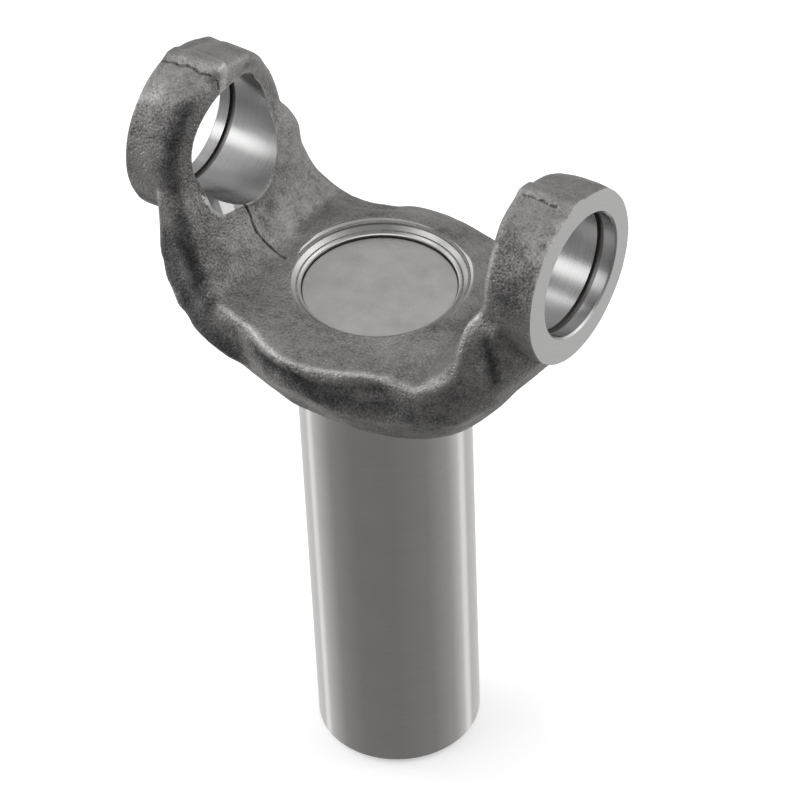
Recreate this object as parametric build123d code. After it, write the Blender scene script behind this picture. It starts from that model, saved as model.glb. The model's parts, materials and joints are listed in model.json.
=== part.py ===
from build123d import *
import math
import os

os.makedirs("parts", exist_ok=True)

# Frame: the origin is the centre of the barrel's open end. Z runs up the barrel to the ears and
# X runs along the cross bores' shared axis. Lengths in millimetres, angles in degrees.

# Barrel, and how far below the floor its plain cylinder ends inside the saddle
barrel_radius = 19.05
barrel_end_chamfer = 1.2
floor_height = 131.5
barrel_inset = 6.0

# Turned shoulder under the saddle, where the barrel's running surface ends
shoulder_drop = 25.2
shoulder_width = 1.5

# Ears: bosses that taper inward to an ellipse and are faced flat outside
bore_axis_rise = 22.0
ear_face_half_span = 50.6
ear_inner_half_span = 37.0
ear_root_half_span = 33.0
ear_face_radius = 19.1
ear_inner_half_width = 18.4
ear_inner_half_height = 18.4

# Cross bores for the bearing caps, with a snap ring groove near each outer end
cap_bore_radius = 13.495
cap_bore_chamfer = 0.4
snap_groove_half_span = 46.04
snap_groove_width = 1.6
snap_groove_depth = 0.8

# Draft of the forged faces, away from the parting plane
floor_draft = 5.0
arm_draft = 3.5

# How far the forged body sits off the machined axes, towards -Y
forging_offset = -0.6

# Rounds of the edges between the arms, on the front (-Y) and back halves of the die
front_edge_round = 2.8
back_edge_round = 1.8

# Trimmed flash left along the top of each ear
flash_width = 3.4
flash_height = 0.8
flash_offset = -0.7
flash_foot = 1.2
flash_root_depth = 1.6

# Stepped counterbore in the floor, and the sealing plug pressed into it
mouth_radius = 19.15
mouth_depth = 1.2
mouth_cone_height = 1.3
seat_radius = 17.2
plug_recess = 3.1
plug_thickness = 2.0
plug_edge_chamfer = 0.6

# Inside of the barrel: teeth from the open end, then a plain relief up to the plug's seat
tooth_count = 27
tooth_tip_radius = 13.8
tooth_root_radius = 14.9
tooth_gap_root_share = 0.34
tooth_gap_tip_share = 0.62
toothed_length = 104.0
entry_radius = 15.5
entry_depth = 1.7
relief_radius = 15.2

# Side wall of arms and hub seen from above: distance along X, and half-width beyond the arms' own.
# The hub sits further off the machined axes than the arms do.
arm_half_width = 21.4
wall_swell = [(54, 0), (45, 0), (36, 0.4), (30, 2.2), (24, 3.6), (18, 4.2), (12, 6.3), (6, 8), (0, 8.6)]
hub_offset_share = 0.1
# How that wall draws in as it rises to the ears: level from the bore axis, and half-width lost
wall_narrowing = [(-60, 0), (-52, 0), (-44, 0), (-37, 0), (-30, 0), (-24, 0), (-19, 0.1), (-14.5, 0.3),
                  (-11, 0.6), (-7.5, 1.0), (-4, 2.3), (0, 5.2), (5, 8.2)]
# Inside outline of one arm at the parting plane: distance in from the ear's inner face, and level
inner_outline = [(0, bore_axis_rise + 4), (0.6, bore_axis_rise - 1.2), (3, 17.2), (4.8, 13), (6.2, 8.8),
                 (8.8, 4.2), (12.4, 1.1), (17.5, 0)]
# Outside outline of one arm and the underside, at set distances from the parting plane
outer_outlines = {
    0.0: [(50.3, 12), (49.8, 7), (47.7, 2), (44.3, -3.4), (39.7, -10), (34.5, -17), (28.8, -23.6),
          (21.6, -28.8), (12, -31.2), (0, -31.8)],
    9.0: [(49, 12), (48.3, 6.6), (46.3, 1.6), (42.9, -3.8), (38.7, -9.8), (33.6, -16.2), (27.9, -22.2),
          (21.2, -27.2), (12, -29.8), (0, -30.4)],
    18.0: [(43.6, 12), (43.3, 6.3), (42.2, 0.4), (40.1, -5.3), (36.8, -10.3), (33, -14.3), (28.3, -18.3),
           (21.8, -22.2), (12, -25.6), (0, -26.6)],
    25.0: [(39.4, 12), (39.1, 6.3), (38, 0.8), (35.6, -3.8), (32.4, -7.2), (28.6, -9.7), (24.4, -11.9),
           (19.6, -14.2), (12, -17.6), (0, -19.4)],
    32.0: [(37, 12), (37, 7), (36.2, 2.6), (34, -0.8), (30.8, -3.4), (27.2, -5.2), (23.6, -6.4), (19.5, -7.2),
           (12, -7.8), (0, -8)],
}

# Sizes that follow from those above
floor_slope = math.tan(math.radians(floor_draft))
arm_slope = math.tan(math.radians(arm_draft))
bore_axis_height = floor_height + bore_axis_rise
seat_depth = plug_recess + plug_thickness
arm_top = bore_axis_rise + 2
void_top = bore_axis_rise + 2 * ear_face_radius
void_depth = 2 * ear_face_radius
overlap = 1.0
low = (Align.CENTER, Align.CENTER, Align.MIN)


def outer_section(distance):
    """Outside outline of one quarter at one distance from the parting plane."""
    points = outer_outlines[distance]
    curve = [Vector(points[0][0], distance, arm_top)] + [Vector(x, distance, z) for x, z in points]
    centre = Vector(0, distance, arm_top)
    outline = Spline(*curve, tangents=[(0, 0, -1), (-1, 0, 0)])
    return Face(Wire([outline, Line(curve[-1], centre), Line(centre, curve[0])]))


def wall_section(level, lost, swell_scale):
    """Side wall's outline over one quarter, at one level from the bore axis."""
    height = bore_axis_rise + level
    curve = [Vector(x, arm_half_width - lost + swell * swell_scale, height) for x, swell in wall_swell]
    inner = Vector(0, -overlap, height)
    outer = Vector(curve[0].X, -overlap, height)
    outline = Spline(*curve, tangents=[(-1, 0), (-1, 0)])
    return Face(Wire([outline, Line(curve[-1], inner), Line(inner, outer), Line(outer, curve[0])]))


def void_section(distance):
    """Space between the arms over one quarter, moved out and down by the draft."""
    top = inner_outline[0][1]
    fade_length = top - inner_outline[1][1]
    curve = []
    for inset, z in inner_outline:
        fade = min(1.0, (top - z) / fade_length)
        curve.append(Vector(ear_inner_half_span - inset + arm_slope * distance, distance,
                            z - floor_slope * distance * fade))
    high = Vector(curve[0].X, distance, void_top)
    high_centre = Vector(-overlap, distance, void_top)
    low_centre = Vector(-overlap, distance, curve[-1].Z)
    outline = Spline(*curve, tangents=[(0, 0, -1), (-1, 0, 0)])
    return Face(Wire([Line(high, curve[0]), outline, Line(curve[-1], low_centre),
                      Line(low_centre, high_centre), Line(high_centre, high)]))


def ear_section(half_span):
    """Plane across the ear at one distance along the bore axis."""
    return Plane(origin=(half_span, 0, bore_axis_rise), x_dir=(0, 1, 0), z_dir=(1, 0, 0))


def ear_boss():
    """Back half of one ear's boss, from inside the arm out to the machined face."""
    taper = (ear_face_radius - ear_inner_half_width) / (ear_face_half_span - ear_inner_half_span)
    root_half_width = ear_inner_half_width - taper * (ear_inner_half_span - ear_root_half_span)
    boss = loft([ear_section(ear_root_half_span) * Ellipse(root_half_width, ear_inner_half_height),
                 ear_section(ear_face_half_span) * Circle(ear_face_radius)], ruled=True)
    size = 4 * ear_face_half_span
    return boss & Box(size, size, size, align=(Align.CENTER, Align.MIN, Align.CENTER))


def quarter_body(edge_round, swell_scale):
    """One quarter of the forged body, hollowed between the arms, with its inner edges rounded."""
    outside = loft([outer_section(distance) for distance in outer_outlines])
    side_wall = loft([wall_section(level, lost, swell_scale) for level, lost in wall_narrowing])
    void = loft([void_section(0), void_section(void_depth)], ruled=True)
    body = ((outside & side_wall) + ear_boss()) - void
    void_faces = void.faces()
    rims = []
    for edge in body.edges():
        middle = edge.position_at(0.5)
        on_void = min(face.distance_to(middle) for face in void_faces) < 0.01
        off_symmetry_planes = middle.X > overlap and middle.Y > overlap
        if on_void and off_symmetry_planes:
            rims.append(edge)
    return body.fillet(edge_round, rims)


def flash_rib():
    """Trimmed flash along the top of one ear, from its inner edge to the machined face."""
    foot = ear_face_radius - flash_root_depth
    left = flash_offset - flash_width / 2
    right = flash_offset + flash_width / 2
    crest = ear_face_radius + flash_height
    corners = [(left - flash_foot, foot), (right + flash_foot, foot), (right, crest), (left, crest)]
    profile = Polygon(*corners, align=None)
    return extrude(ear_section(ear_inner_half_span) * profile,
                   amount=ear_face_half_span - ear_inner_half_span, dir=(1, 0, 0))


def forged_body():
    """Saddle, arms and ears as they leave the die."""
    back = quarter_body(back_edge_round, 1 - hub_offset_share)
    front = mirror(quarter_body(front_edge_round, 1 + hub_offset_share), Plane.XZ)
    right = front + back + flash_rib()
    whole = right + mirror(right, Plane.YZ)
    return Pos(0, forging_offset, floor_height) * whole


def barrel_blank():
    """Turned outside of the barrel."""
    barrel = Cylinder(barrel_radius, floor_height - barrel_inset, align=low)
    return barrel.chamfer(barrel_end_chamfer, None, [barrel.edges().sort_by(Axis.Z)[0]])


def shoulder_cutter():
    """Ring that faces the forging's underside flat round the top of the running surface."""
    height = floor_height - shoulder_drop
    ring = Cylinder(barrel_radius + shoulder_width, height, align=low) - Cylinder(barrel_radius, height, align=low)
    return ring


def cross_bore_cutters():
    """Through bore for the bearing caps, its snap ring grooves and its edge chamfers."""
    along_x = Rot(0, 90, 0)
    cutters = [along_x * Cylinder(cap_bore_radius, 2 * (ear_face_half_span + overlap))]
    groove_middle = snap_groove_half_span + snap_groove_width / 2
    cone_height = cap_bore_chamfer + overlap
    cone = Cone(cap_bore_radius, cap_bore_radius + cone_height, cone_height, align=low)
    for side in (-1, 1):
        groove = along_x * Cylinder(cap_bore_radius + snap_groove_depth, snap_groove_width)
        cutters.append(Pos(side * groove_middle, 0, 0) * groove)
        chamfer_start = Pos(side * (ear_face_half_span - cap_bore_chamfer), 0, 0)
        cutters.append(chamfer_start * Rot(0, 90 * side, 0) * cone)
    return [Pos(0, 0, bore_axis_height) * cutter for cutter in cutters]


def counterbore_cutters():
    """Mouth, conical step and seat that take the sealing plug."""
    mouth = Cylinder(mouth_radius, mouth_depth + overlap, align=low)
    cone = Cone(seat_radius, mouth_radius, mouth_cone_height, align=low)
    seat = Cylinder(seat_radius, seat_depth + overlap, align=low)
    cone_depth = mouth_depth + mouth_cone_height
    return [Pos(0, 0, floor_height - depth) * cutter
            for depth, cutter in ((mouth_depth, mouth), (cone_depth, cone), (seat_depth, seat))]


def tooth_gap():
    """One gap between two teeth, wider at the tips, running the toothed length from the open end."""
    pitch = 2 * math.pi / tooth_count
    tip = tooth_tip_radius - overlap
    tip_half = pitch * tooth_gap_tip_share / 2 * tooth_tip_radius / tip
    root_half = pitch * tooth_gap_root_share / 2
    root = tooth_root_radius
    corners = [(tip, -tip_half), (root, -root_half), (root, root_half), (tip, tip_half)]
    profile = Polygon(*[(r * math.cos(angle), r * math.sin(angle)) for r, angle in corners], align=None)
    return Pos(0, 0, -overlap) * extrude(profile, amount=toothed_length + overlap, dir=(0, 0, 1))


def barrel_cutters():
    """Relief above the teeth, tooth tips, tooth gaps and the chamfered entry."""
    relief = Pos(0, 0, toothed_length) * Cylinder(relief_radius, floor_height - toothed_length, align=low)
    tips = Pos(0, 0, -overlap) * Cylinder(tooth_tip_radius, toothed_length + 2 * overlap, align=low)
    gaps = [Rot(0, 0, 360 / tooth_count * index) * tooth_gap() for index in range(tooth_count)]
    entry_rate = (entry_radius - tooth_tip_radius) / entry_depth
    entry = Cone(entry_radius + overlap * entry_rate, tooth_tip_radius, entry_depth + overlap, align=low)
    return relief, tips, gaps, Pos(0, 0, -overlap) * entry


def forged_yoke():
    """The forging with its barrel turned and all its bores machined."""
    yoke = (forged_body() - shoulder_cutter()) + barrel_blank()
    for cutter in cross_bore_cutters() + counterbore_cutters():
        yoke = yoke - cutter
    relief, tips, gaps, entry = barrel_cutters()
    yoke = yoke - relief - tips
    yoke = yoke - gaps
    return yoke - entry


def sealing_plug():
    """Flat disc with its upper edge bevelled, seated on the counterbore's shoulder."""
    disc = Cylinder(seat_radius, plug_thickness, align=low)
    disc = disc.chamfer(plug_edge_chamfer, None, [disc.edges().sort_by(Axis.Z)[-1]])
    return Pos(0, 0, floor_height - seat_depth) * disc


export_step(forged_yoke(), "parts/forged_yoke.step")
export_step(sealing_plug(), "parts/sealing_plug.step")
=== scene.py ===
import json
import math

import bmesh
import bpy
import numpy as np
from mathutils import Matrix, Vector


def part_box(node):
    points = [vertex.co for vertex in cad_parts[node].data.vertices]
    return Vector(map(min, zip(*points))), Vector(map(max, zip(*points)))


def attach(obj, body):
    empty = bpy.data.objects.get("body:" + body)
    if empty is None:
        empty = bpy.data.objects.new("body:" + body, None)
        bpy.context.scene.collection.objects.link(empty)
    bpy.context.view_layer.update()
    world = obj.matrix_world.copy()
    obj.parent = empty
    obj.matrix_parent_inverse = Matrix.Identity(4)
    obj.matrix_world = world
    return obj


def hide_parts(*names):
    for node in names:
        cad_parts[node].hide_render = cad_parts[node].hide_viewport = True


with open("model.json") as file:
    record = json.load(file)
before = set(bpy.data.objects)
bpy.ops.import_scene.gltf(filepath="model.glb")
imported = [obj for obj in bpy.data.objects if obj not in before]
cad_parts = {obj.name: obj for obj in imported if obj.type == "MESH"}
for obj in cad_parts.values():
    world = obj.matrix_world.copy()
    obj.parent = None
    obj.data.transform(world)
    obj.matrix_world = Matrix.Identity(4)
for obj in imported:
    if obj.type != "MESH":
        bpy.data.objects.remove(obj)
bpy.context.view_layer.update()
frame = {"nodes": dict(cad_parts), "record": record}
MM = 0.001

# Sizes taken from the frame, in metres
mounts = {mount["name"]: mount for mount in frame["record"]["mounts"]}
bore_axis = mounts["ear_bores"]["pos_m"][2]
bore_radius = mounts["ear_bores"]["dims"]["r_mm"] * MM
face_half_span = mounts["ear_bores"]["dims"]["length_mm"] * MM / 2
barrel_radius = mounts["barrel"]["dims"]["r_mm"] * MM
tooth_tip_radius = mounts["spline_bore"]["dims"]["r_mm"] * MM
toothed_length = mounts["spline_bore"]["dims"]["length_mm"] * MM
plug_low, plug_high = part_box("sealing_plug")
seat_radius = plug_high.x

# Sizes of the machined detail, as in the part, in metres
PLUG_RECESS = 3.1 * MM
BORE_CHAMFER = 0.4 * MM
GROOVE_HALF_SPAN = 46.04 * MM
GROOVE_WIDTH = 1.6 * MM
GROOVE_DEPTH = 0.8 * MM
BARREL_CHAMFER = 1.2 * MM
TOOTH_COUNT = 27
TOOTH_ROOT_RADIUS = 14.9 * MM
GAP_ROOT_SHARE = 0.34
GAP_TIP_SHARE = 0.62
RELIEF_RADIUS = 15.2 * MM
ENTRY_RADIUS = 15.5 * MM
ENTRY_DEPTH = 1.7 * MM
floor_height = plug_high.z + PLUG_RECESS
shoulder_height = floor_height - 25.2 * MM
shoulder_radius = barrel_radius + 1.5 * MM

# Sizes of the forging, as in the part, in metres
FORGING_OFFSET = -0.6 * MM
FLOOR_SLOPE = math.tan(math.radians(5.0))
EAR_INNER_HALF_SPAN = 37.0 * MM
ARM_SLOPE = math.tan(math.radians(3.5))
# Inside outline of one arm, in mm: distance in from the ear's inner face, and level above the floor
INNER_OUTLINE = [(0, 60), (0, 26), (0.6, 20.8), (3, 17.2), (4.8, 13), (6.2, 8.8), (8.8, 4.2), (12.4, 1.1),
                 (17.5, 0)]

# How the forged skin is remade, in metres
VOXEL_SIZE = 0.56 * MM
FACE_STOCK = 2.0 * MM
STUB_BOTTOM = 98 * MM
# What fills the blank's bores, grooves and floor again before they are cut, in metres
FILL_OVERLAP = 0.3 * MM
CHAMFER_FILL_START = 49.5 * MM
GROOVE_FILL_START = 45.5 * MM
GROOVE_FILL_END = 48.2 * MM
FLOOR_FILL_RADIUS = 19.4 * MM
FLOOR_FILL_DEPTH = 8 * MM
CORE_RADIUS = 17.5 * MM
CORE_DEPTH = 4 * MM

# Fine steps turned in the mouth: radius and depth below the floor, in mm
MOUTH_STEPS = [(20.05, 0.12), (19.5, 0.5), (18.9, 0.6), (18.9, 1.2), (18.0, 1.95), (17.6, 2.0), (17.2, 2.35)]
# Lip over the plug's edge, in metres: its radius, its underside and its top above the plug
LIP_RADIUS = 16.9 * MM
LIP_LOW = 0.1 * MM
LIP_HIGH = 0.6 * MM

# Deburred stretches of the cross bores' inner rims, on the side at -X and at +X: angle round the bore
# from +Y towards +Z, and width in mm
RIM_BEVELS = {
    -1: [[(-178, 0), (-166, 0.5), (-156, 1.3), (-146, 2.5), (-134, 2.6), (-122, 1.3), (-112, 0.5),
          (-95, 0.5), (-62, 0.55), (-30, 0.45), (-8, 0)],
         [(38, 0), (47, 0.9), (62, 1.1), (72, 0.5), (82, 0)]],
    1: [[(-172, 0), (-150, 0.5), (-120, 0.8), (-90, 0.5), (-50, 0.4), (-10, 0)]],
}

# Unevenness of the skin, in mm: height, wavelength and seed of each layer of noise
SWELL = [(0.16, 16, 1), (0.09, 6, 2)]
FINE_RELIEF = [(0.045, 2.4, 3), (0.024, 1.3, 4)]
# How far the whole skin is set back, in mm
SET_BACK = 0.1
# Seeds of the other noises; those along lines count on from here
DRIFT_SEED = 5
PATCH_SEED = 6
WANDER_SEED = 20
FADING_SEED = 30
STROKE_SEED = 40
RIDGE_SEED = 60

# The ears' crowns are softened between these heights, and fade out across Y
CROWN_HEIGHTS = (164 * MM, 168 * MM)
CROWN_EDGES = (8 * MM, 11 * MM)

# Behind the counterbore the floor is raised nearly level: its rise, and the bands over which that
# fades across Y, by the distance from the barrel's axis, and below the floor
LEVEL_RISE = 1.45 * MM
LEVEL_ACROSS = (-2 * MM, 15 * MM)
LEVEL_RADII = (21.5 * MM, 28 * MM)
LEVEL_DEPTHS = (7 * MM, 4 * MM)

# Where this forging departs from its smooth form, in mm: a place, and how far the skin moves there
DEPARTURES = [
    ((-40.6, -21.7, 136.3), (-0.36, -0.27, 0)), ((-39.2, -21.9, 129.9), (-0.5, -0.57, -0.2)),
    ((-35.7, -22.5, 124.9), (-0.63, -0.92, -0.43)), ((-30.8, -24.1, 122.0), (-0.5, -0.95, -0.55)),
    ((-26.2, -25.4, 120.8), (-0.35, -0.85, -0.55)), ((-21.9, -26.1, 119.4), (-0.24, -0.6, -0.4)),
    ((-15.3, -27.3, 118.2), (0.13, 0.42, 0.3)), ((-11.7, -28.3, 118.1), (0.12, 0.35, 0.25)),
    ((-5.5, -25.5, 112.4), (-0.06, -0.3, -0.25)), ((-48.6, -15.4, 141.9), (0, -0.3, -0.27)),
    ((-50.4, -0.3, 173.2), (0.3, -0.2, -0.75)), ((-50.4, 4.2, 171.7), (0.3, -0.25, -0.75)),
    ((-50.1, 8.2, 170.2), (0.2, -0.4, -0.65)), ((-44.4, 9.6, 169.2), (0, 0.4, 0.36)),
    ((-40.5, 9.9, 168.8), (0, 0.36, 0.33)), ((-38.7, 12.5, 166.0), (0.1, 0.4, 0.3)),
    ((-38.3, 15.7, 159.3), (0.15, 0.36, 0.1)), ((-38.2, 16.4, 155.4), (0.4, 0.5, 0.05)),
    ((-38.0, 16.8, 151.9), (0.7, 1.2, 0.4)), ((-36.7, 18.1, 148.7), (0.4, 1.1, 0.6)),
    ((-35.1, 19.0, 146.0), (0.3, 0.6, 0.3)), ((-32.8, 20.1, 139.7), (-0.3, -0.42, -0.17)),
    ((-31.5, 20.3, 136.7), (-0.34, -0.5, -0.25)), ((-29.8, 21.1, 133.9), (-0.25, -0.55, -0.38)),
    ((-27.6, 22.0, 131.6), (-0.2, -0.65, -0.45)), ((-22.2, 22.6, 129.3), (0, -0.55, -0.5)),
    ((-18.9, 22.9, 129.3), (0.1, -0.65, -0.65)), ((-15.8, 23.5, 129.3), (0.1, -0.6, -0.65)),
    ((-13.2, 24.6, 129.1), (0.1, -0.45, -0.5)), ((12.5, 24.8, 129.0), (0, 0.3, 0.2)),
    ((38.3, -8.7, 169.3), (-0.36, -0.1, 0.15)), ((38.2, -5.9, 170.3), (-0.52, -0.1, 0.24)),
    ((37.6, -0.9, 173.1), (0.4, -0.1, -0.45)), ((36.8, -17.3, 120.6), (-0.32, 0.1, 0.3)),
    ((39.2, -16.9, 123.6), (-0.41, 0.06, 0.33)), ((42.2, -13.4, 127.3), (-0.43, 0, 0.31)),
    ((43.3, -11.2, 128.7), (-0.43, 0, 0.3)), ((46.4, -8.0, 132.7), (-0.5, 0.08, 0.43)),
    ((43.3, 9.9, 168.8), (0, 0.4, 0.42)), ((47.5, 10.0, 168.9), (0, 0.36, 0.36)),
    ((17.0, -26.5, 127.5), (0, 0.7, -0.1)), ((12.5, -28.0, 127.0), (0, 0.4, 0)),
    ((27.5, -25.0, 128.5), (0, -0.5, 0.3)), ((31.0, -24.0, 130.5), (0, -0.3, 0.2)),
]
# How far round its place a departure reaches, in mm
DEPARTURE_REACH = 3.2

# Lines where the two halves of the die met: open seams with a lap of scale, in mm
SEAMS = [
    [(-50.6, -5.0, 171.7), (-49.8, -4.8, 171.9), (-47.6, -4.3, 171.9), (-46.0, -4.6, 172.0),
     (-44.2, -4.0, 172.1), (-42.5, -4.1, 172.1), (-40.9, -4.4, 171.9), (-38.7, -4.0, 171.8),
     (-37.3, -3.2, 170.4), (-37.3, -3.1, 168.2)],
    [(-31.3, -4.6, 141.0), (-31.2, -4.4, 140.3), (-30.4, -4.3, 138.1), (-28.4, -5.2, 135.0),
     (-25.9, -5.2, 132.9), (-23.9, -4.8, 131.3), (-21.0, -5.2, 130.9)],
    [(39.0, -3.5, 171.9), (39.7, -3.8, 172.1), (41.2, -3.5, 172.3), (42.6, -4.0, 172.4),
     (43.8, -3.6, 172.4), (45.4, -4.1, 172.4), (47.2, -3.8, 172.4)],
    [(31.4, -4.2, 140.6), (30.2, -4.6, 138.0), (28.2, -4.3, 135.0), (26.0, -4.8, 132.9)],
]

# Depth of each seam, the half-width of all, and how far they wander from their line, in mm
SEAM_DEPTHS = [0.32, 0.5, 0.3, 0.22]
SEAM_HALF_WIDTH = 0.22
SEAM_WANDER = 0.12
# Lap of scale beside a seam, in mm: its height, how far it reaches, and the span of its rise across the seam
LAP_HEIGHT = 0.1
LAP_REACH = 1.8
LAP_RISE = 1.2

# Fold down the front of the right arm
RIGHT_FOLD = [(41, -20.5, 146.7), (41.7, -20.9, 143.5), (42.1, -20.5, 139.4), (42.2, -19.5, 135.5)]

# Crisp flow lines raised or sunk in the skin: height, half-width in mm, and the line
RIDGES = [
    (0.3, 0.9, [(-23.9, -24.0, 129.4), (-19.5, -25.1, 129.0), (-14.8, -26.1, 129.0), (-8.9, -29.0, 128.3),
        (-4.8, -30.1, 128.2), (2.0, -30.2, 128.4), (9.8, -27.8, 128.8), (14.3, -25.8, 128.6),
        (19.6, -25.0, 128.6), (25.2, -24.6, 129.0), (30.4, -23.9, 130.8), (33.9, -22.7, 134.8),
        (35.2, -21.8, 140.4), (35.4, -20.0, 146.3), (37.0, -18.4, 149.4), (39.0, -18.4, 152.2)]),
    (-0.3, 1.1, [(-14, -28.0, 126.3), (-8.5, -30.3, 126.0), (-4.5, -31.0, 125.9), (2.0, -31.3, 126.0),
        (9.8, -29.7, 126.2), (14.3, -27.2, 126.4), (17.5, -26.2, 126.4), (19.5, -26.0, 124.8)]),
    (-0.3, 1.0, RIGHT_FOLD),
]

# Small dents: place, radius and depth in mm
DENTS = [
    ((49.4, -8.8, 170.6), 1.0, 0.4), ((49.3, -11.9, 168.7), 0.8, 0.35), ((-34.2, 14.0, 145.2), 0.6, 0.3),
    ((8.0, -26.0, 129.4), 0.8, 0.2), ((-27.0, 3.0, 133.4), 0.8, 0.2), ((43.0, -18.3, 149.0), 0.9, 0.25),
]

# Painted shade in hollows, on the front walls and on walls turned from the lamps, painted highlights along
# rims, ear tops and edges, and the seams' darker scale: strength, half-width in mm, and the line
PAINTED_LIGHT_AND_SEAM_SCALE = [
    # Painted shade down the hollow at the left ear's front, along the front walls and in the folds
    (-0.5, 2.3, [(-39.6, -11.5, 168.0), (-40.1, -13.7, 166.3), (-40.2, -16.1, 163.3), (-39.9, -18.4, 157.5),
        (-39.4, -18.7, 152.1), (-37.2, -20.3, 147.3), (-35.0, -21.6, 142.2), (-32.9, -22.5, 136.9),
        (-30.3, -23.7, 131.9), (-26.5, -24.4, 128.5)]),
    (-0.55, 2.6, [(-12, -28.0, 125.0), (-5, -30.6, 124.6), (1, -31.3, 124.3), (5.7, -30.8, 123.4),
        (12, -28.9, 123.4), (18, -26.7, 123.2), (23, -26.1, 123)]),
    (-0.45, 1.4, RIGHT_FOLD),
    (-0.45, 1.2, [(-12, -28.6, 126.2), (-5, -31.0, 125.9), (1, -31.4, 125.9), (5.7, -31.2, 125.8),
        (12, -29.0, 126.0), (17.3, -26.0, 126.6), (20.5, -25.4, 125.8)]),
    (-0.55, 3.6, [(-39.5, -21.5, 138), (-37.5, -22.2, 130), (-33, -24, 124), (-26, -25.5, 121.5),
        (-20, -27, 121)]),
    (-0.3, 1.8, [(-38.4, -14.8, 150), (-36.0, -16.5, 144), (-33.0, -17.5, 138), (-29.0, -16.5, 134)]),
    (-0.35, 3.2, [(48, -16.5, 162), (46, -17, 160.5), (46, -19.2, 155.5)]),
    # Darker scale in the seams
    (-0.55, 0.3, SEAMS[0]),
    (-0.8, 0.3, SEAMS[1]),
    (-0.45, 0.28, SEAMS[2]),
    (-0.4, 0.25, SEAMS[3]),
    # Painted highlights and painted shade on the ears and arms
    (0.35, 3.0, [(-46, -18.6, 157), (-45.5, -19.2, 153), (-45.5, -19, 148)]),
    (-0.4, 2.2, [(-35.5, -22.2, 140), (-34.3, -22.6, 136.7), (-31.5, -23.6, 131.5)]),
    (0.25, 5.0, [(41, 2, 172.5), (48, 2, 172.5)]),
    (0.25, 5.0, [(-48, 3, 172), (-41, 3, 172)]),
    (0.2, 3.0, [(42.5, -18.5, 131), (39, -20.5, 127)]),
    (-0.15, 5.0, [(-33, 2, 143), (-31, 2, 139)]),
    (0.14, 5.0, [(-49, -9, 170), (-45, -8, 170.5), (-41, -8, 170)]),
    (0.5, 1.3, [(-37.6, 6.8, 165.5), (-37.7, 10.0, 165.0)]),
    # Painted highlight along the front rim and up the right arm, then more painted highlights and shade
    (0.5, 0.8, [(-23.9, -24.0, 129.4), (-19.5, -25.1, 129.0), (-14.8, -26.1, 129.0), (-8.9, -29.0, 128.3),
        (-4.8, -30.1, 128.2), (2.0, -30.2, 128.4), (9.8, -27.8, 128.8), (14.3, -25.6, 129.0),
        (19.6, -24.1, 129.2), (25.2, -24.0, 129.3), (30.4, -23.9, 131.1), (33.9, -22.7, 134.8),
        (35.2, -21.8, 140.4), (35.4, -19.8, 146.5), (37.0, -18.4, 149.4), (39.0, -18.4, 152.2),
        (39.6, -18.4, 156.9), (39.2, -16.2, 162.7), (39.1, -14.1, 165.6)]),
    (0.4, 1.6, [(-50.2, -13.4, 167.3), (-48.4, -12.2, 168.2), (-46.5, -11.2, 168.9)]),
    (0.75, 1.0, [(-37.6, -0.7, 171.2), (-37.2, -1.0, 169.6), (-37.2, -1.9, 167.2)]),
    (-0.2, 3.0, [(41.5, -12, 168), (45.1, -13.4, 167.1), (48.5, -13.4, 167.3)]),
    (0.25, 2.2, [(-31.0, 6.0, 139.0), (-27.0, 4.0, 134.0), (-23.0, 2.0, 131.6)]),
]

# Kinds of surface on the yoke, in the order of its materials
# The last kind is dark steel that paints shade into the ring grooves and onto the seat wall above the plug
FORGED, EAR_FACE, BORE, BARREL, COUNTERBORE, INSIDE, PAINTED_RECESS_SHADE = range(7)

# Compass angle of the photograph's viewpoint, which the studio faces, and the point that is lit
VIEW_AZIMUTH = math.radians(35.777)
STUDIO_MIDDLE = (0, 0, 0.12)


def heading(azimuth, elevation=0.0):
    """Direction at a compass angle, from -Y towards +X, and a height angle."""
    level = math.cos(elevation)
    return Vector((level * math.sin(azimuth), -level * math.cos(azimuth), math.sin(elevation)))


def make_camera():
    """Camera at the photograph's viewpoint, with its long lens."""
    elevation = math.radians(41.454)
    roll = math.radians(-2.515)
    distance = 765.40 * MM
    shift_right = 4.406 * MM
    shift_up = -26.478 * MM
    back = heading(VIEW_AZIMUTH, elevation)
    level = Vector((math.cos(VIEW_AZIMUTH), math.sin(VIEW_AZIMUTH), 0))
    upright = back.cross(level)
    right = math.cos(roll) * level + math.sin(roll) * upright
    up = -math.sin(roll) * level + math.cos(roll) * upright
    data = bpy.data.cameras.new("camera")
    data.sensor_width = 36
    data.lens = 161.786
    data.clip_start = 0.05
    data.clip_end = 20
    camera = bpy.data.objects.new("camera", data)
    place = Vector((0, 0, floor_height)) + back * distance + right * shift_right + up * shift_up
    turn = Matrix((right, up, back)).transposed().to_4x4()
    camera.matrix_world = Matrix.Translation(place) @ turn
    bpy.context.scene.collection.objects.link(camera)
    bpy.context.scene.camera = camera


def new_object(name, mesh):
    """Object in the scene that carries one mesh."""
    thing = bpy.data.objects.new(name, mesh)
    bpy.context.scene.collection.objects.link(thing)
    return thing


def mesh_from(points, faces, name="shape"):
    """Mesh from plain lists of points and faces."""
    mesh = bpy.data.meshes.new(name)
    mesh.from_pydata([tuple(point) for point in points], [], faces)
    mesh.update()
    return mesh


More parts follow.
